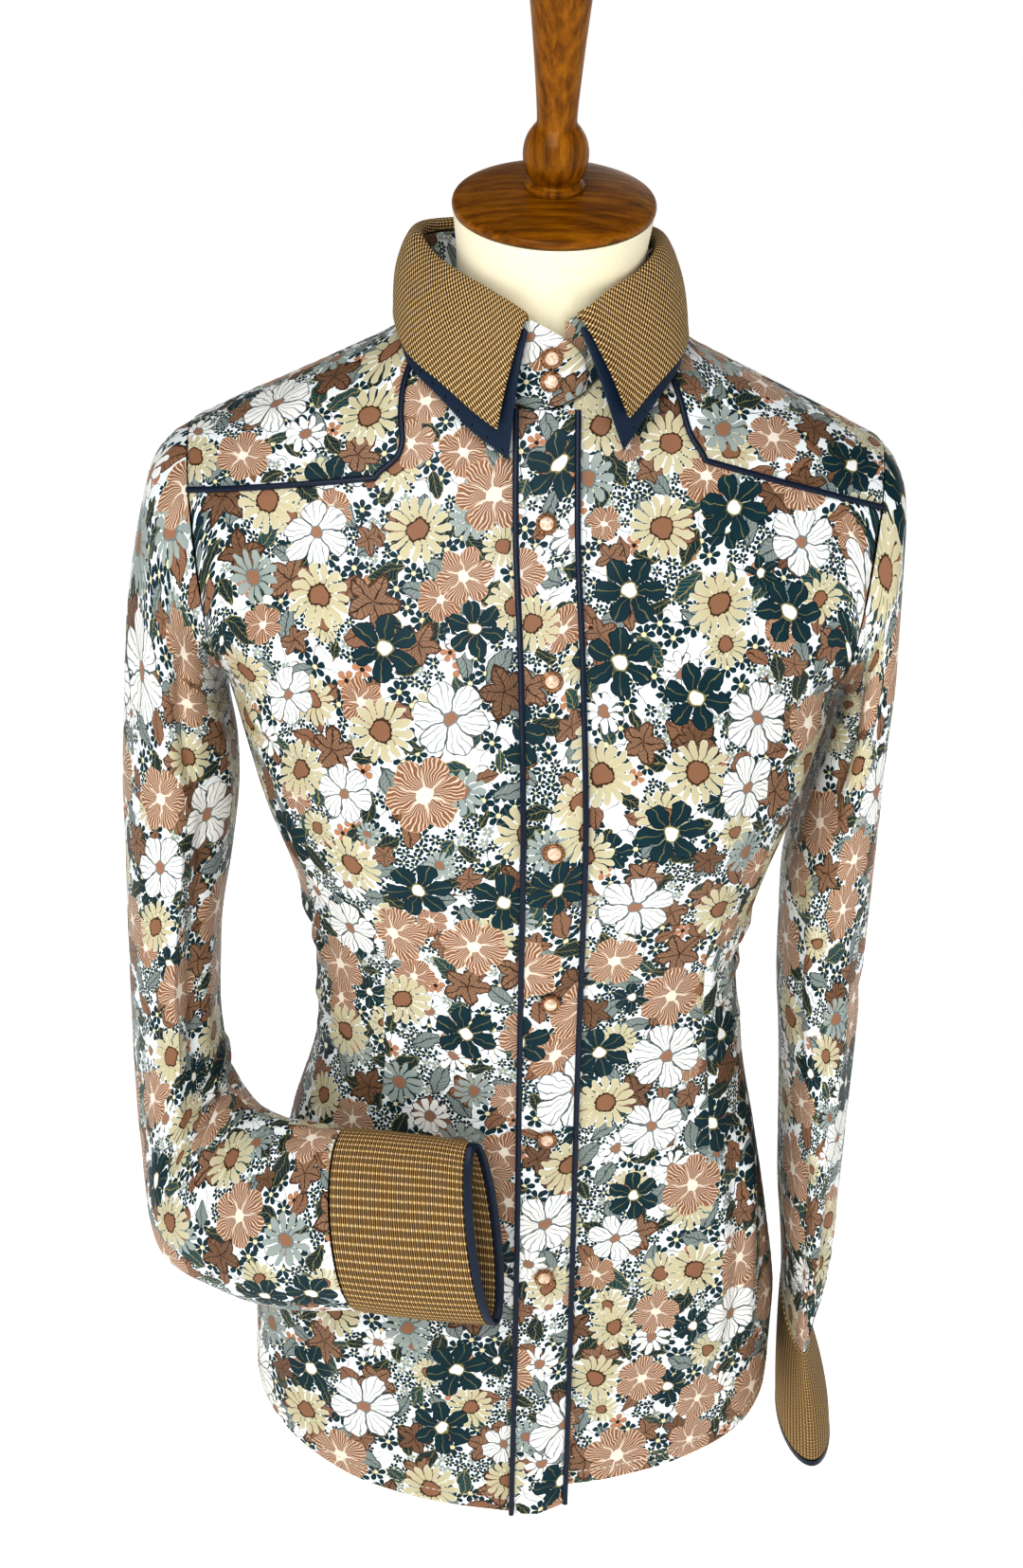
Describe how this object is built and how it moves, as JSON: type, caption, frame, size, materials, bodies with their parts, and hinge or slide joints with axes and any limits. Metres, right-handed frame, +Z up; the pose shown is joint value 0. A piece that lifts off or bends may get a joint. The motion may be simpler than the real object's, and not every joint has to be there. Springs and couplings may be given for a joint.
{
  "type": "western snap shirt on dress form",
  "caption": "Fitted long-sleeved western shirt with piped yokes and placket, check collar and cuffs and pearl snaps, worn on a limbless dress form with a turned wooden neck cap and finial.",
  "frame": {"origin": "middle of the dress form's flat underside, on the surface it stands on", "axes": "+Z up along the body, -Y the way the front faces, +X towards the wearer's left"},
  "size_m": [0.4258, 0.2401, 0.906],
  "materials": {
    "printed_satin": "satin cotton with a dense flower print on white",
    "navy_satin": "satin",
    "tan_check": "small woven check",
    "pearl": "pearlescent",
    "copper_crown": "polished copper colour",
    "jersey": "fine-ribbed jersey",
    "turned_wood": "varnished"
  },
  "bodies": {
    "root": {"back": "printed_satin", "collar": "tan_check", "collar_stand": "printed_satin", "cuff_binding_left": "navy_satin", "cuff_binding_right": "navy_satin", "cuff_left": "tan_check", "cuff_right": "tan_check", "finial": "turned_wood", "form_body": "jersey", "front_left": "printed_satin", "front_right": "printed_satin", "neck_cap": "turned_wood", "pearl_1": "pearl", "pearl_2": "pearl", "pearl_3": "pearl", "pearl_4": "pearl", "pearl_5": "pearl", "pearl_6": "pearl", "pearl_7": "pearl", "pearl_8": "pearl", "placket": "printed_satin", "placket_piping_inner": "navy_satin", "placket_piping_outer": "navy_satin", "sleeve_left": "printed_satin", "sleeve_right": "printed_satin", "snap_1": "copper_crown", "snap_2": "copper_crown", "snap_3": "copper_crown", "snap_4": "copper_crown", "snap_5": "copper_crown", "snap_6": "copper_crown", "snap_7": "copper_crown", "snap_8": "copper_crown", "undercollar": "navy_satin", "yoke_left": "printed_satin", "yoke_piping_left": "navy_satin", "yoke_piping_right": "navy_satin", "yoke_right": "printed_satin"}
  },
  "joints": []
}
